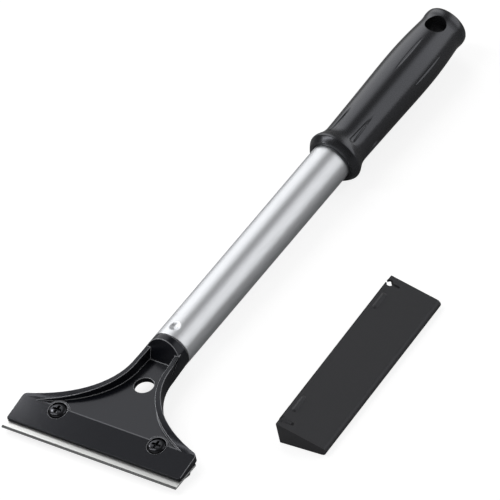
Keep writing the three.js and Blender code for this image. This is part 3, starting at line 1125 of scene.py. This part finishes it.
@dataclass
class Studio:
    """The camera, the pale floor and the soft lights.

    Attributes:
        right: The picture's right in the tool frame.
        up: The picture's up in the tool frame.
        picture: The picture's width in points.
        scale: Picture points to a millimetre.
        middle: The picture's centre from the tube's shoulder, in millimetres right and up.
        lens: The camera's focal length in millimetres.
        sensor: The width of the camera's sensor in millimetres.
        clip: The nearest and farthest thing shown, as shares of the camera's distance.
        left_edge: Where the left light begins and is full, across the tube.
        strip_edge: Where the low strip on the right begins and is full.
        back_edge: Where the lights fade in towards the grip's end.
        left_glow: The left light's strength.
        strip_glow: The strip's strength.
        back_glow: The strength between the two.
        front_glow: The strength of the room in front.
        nose_edge: Where a low light in front begins and is full, along the tube.
        nose_glow: That light's strength.
        floor_size: The floor's width in metres.
        floor_drop: How far the floor lies below the object, in millimetres.
        floor_grey: The floor's colour.
        floor_glow: The floor's own glow to the camera, on top of the light that falls on it.
        lamps: The lights that stand in the room.
    """

    right: Vector = field(default_factory=lambda: Vector((0.811, 0.555, -0.186)))
    up: Vector = field(default_factory=lambda: Vector((-0.283, 0.655, 0.701)))
    picture: float = 500.0
    scale: float = 2.153
    middle: tuple[float, float] = (36.62, 46.27)
    lens: float = 1600.0
    sensor: float = 36.0
    clip: tuple[float, float] = (0.2, 4.0)
    left_edge: tuple[float, float] = (-0.55, -0.8)
    strip_edge: tuple[float, float] = (-0.3, 0.0)
    back_edge: tuple[float, float] = (0.18, 0.52)
    left_glow: float = 1.45
    strip_glow: float = 1.1
    back_glow: float = 0.1
    front_glow: float = 0.11
    nose_edge: tuple[float, float] = (-0.55, -0.8)
    nose_glow: float = 0.55
    floor_size: float = 40.0
    floor_drop: float = 0.02
    floor_grey: float = 0.4
    floor_glow: float = 0.82
    lamps: tuple[Lamp, ...] = (KEY_LEFT, NEAR_LEFT)

    def axes(self) -> tuple[Vector, Vector, Vector]:
        """Squares up the picture's axes.

        Returns:
            Right, up and towards the camera, in the row frame.
        """
        right, up = TOOL.directions([self.right.normalized(), self.up])
        back = right.cross(up).normalized()
        return right, back.cross(right), back

    def camera(self) -> None:
        """Puts the camera where the photograph was taken from."""
        right, up, back = self.axes()
        data = bpy.data.cameras.new("camera")
        data.sensor_width = self.sensor
        data.lens = self.lens
        distance = self.lens * self.picture / self.scale / self.sensor * MM
        data.clip_start, data.clip_end = (distance * share for share in self.clip)
        shoulder = TOOL.matrix().translation
        target = shoulder + (right * self.middle[0] + up * self.middle[1]) * MM
        made = bpy.data.objects.new("camera", data)
        turn = Matrix((right, up, back)).transposed().to_4x4()
        made.matrix_world = Matrix.Translation(target + back * distance) @ turn
        bpy.context.scene.collection.objects.link(made)
        bpy.context.scene.camera = made

    def floor(self) -> None:
        """Lays a pale floor that the camera sees as white, with the object's shadow."""
        bpy.ops.mesh.primitive_plane_add(size=self.floor_size, location=(0, 0, -self.floor_drop * MM))
        plane = bpy.context.object
        plane.name = "floor"
        shader = Shader("floor_white")
        grey = self.floor_grey
        shader.set(Base_Color=(grey, grey, grey, 1.0), Roughness=0.9, Specular_IOR_Level=0.1,
                   Emission_Color=(1.0, 1.0, 1.0, 1.0))
        path = shader.node("ShaderNodeLightPath")
        glow = shader.node("ShaderNodeMath", operation="MULTIPLY")
        glow.inputs[1].default_value = self.floor_glow
        shader.link(path.outputs["Is Camera Ray"], glow.inputs[0])
        shader.link(glow.outputs["Value"], shader.surface.inputs["Emission Strength"])
        plane.data.materials.append(shader.material)

    def hang(self, lamp: Lamp) -> None:
        """Hangs one soft light.

        Args:
            lamp: The light.
        """
        way = sum((axis * share for axis, share in zip(self.axes(), lamp.aim)), Vector()).normalized()
        data = bpy.data.lights.new(lamp.name, "AREA")
        data.shape = "RECTANGLE"
        data.size, data.size_y = lamp.size
        data.energy = lamp.power
        made = bpy.data.objects.new(lamp.name, data)
        made.location = way * lamp.distance
        made.rotation_mode = "QUATERNION"
        made.rotation_quaternion = way.to_track_quat("Z", "Y")
        made.visible_camera = False
        bpy.context.scene.collection.objects.link(made)

    def world(self) -> None:
        """Fills the room with soft light: bright on the left, a low strip on the right."""
        world = bpy.data.worlds.new("room")
        bpy.context.scene.world = world
        world.use_nodes = True
        sky = Sky(world.node_tree)
        right, up, _ = self.axes()
        along = TOOL.directions([Vector((0, 1, 0))])[0]
        across = (right * along.dot(up) - up * along.dot(right)).normalized()
        behind = sky.ramp(sky.along(along), *self.back_edge)
        left = sky.ramp(sky.along(across), *self.left_edge)
        strip = sky.ramp(sky.along(across), *self.strip_edge)
        glow = sky.total((self.left_glow, left), (self.strip_glow, strip), (self.back_glow, None))
        room = sky.product(glow, behind)
        nose = sky.ramp(sky.along(along), *self.nose_edge)
        sky.show(sky.total((1.0, room), (self.nose_glow, nose), (self.front_glow, None)))

    def build(self) -> None:
        """Sets up the whole studio."""
        bpy.context.scene.view_settings.view_transform = "Standard"
        self.camera()
        self.floor()
        self.world()
        for lamp in self.lamps:
            self.hang(lamp)


def main() -> None:
    """Builds every piece in order, then the studio."""
    logging.basicConfig(level=logging.INFO, format="%(name)s: %(message)s")
    pieces: list[Piece] = [
        Casting("head_casting", Body.TOOL, Slot.CASTING, rounding=0.27, edge_highlight_finish=EDGE_HIGHLIGHT_ENAMEL, fold=0.8),
        Casting("clamp_plate", Body.TOOL, Slot.PLATE, PLATE_ENAMEL, rounding=0.3),
        Casting("clamp_screw_left", Body.SCREW_LEFT, Slot.SCREW, SCREW_BLACK, rounding=0.16),
        Casting("clamp_screw_right", Body.SCREW_RIGHT, Slot.SCREW, SCREW_BLACK, rounding=0.16),
        Blade("blade", Body.BLADE, Slot.STEEL),
        Tube("handle_tube", Body.TOOL, Slot.ALUMINIUM),
        Grip("grip", Body.TOOL, Slot.GRIP),
        Cover("blade_cover", Body.COVER, Slot.COVER),
    ]
    for piece in pieces:
        piece.make()
    Studio().build()


if __name__ == "__main__":
    main()
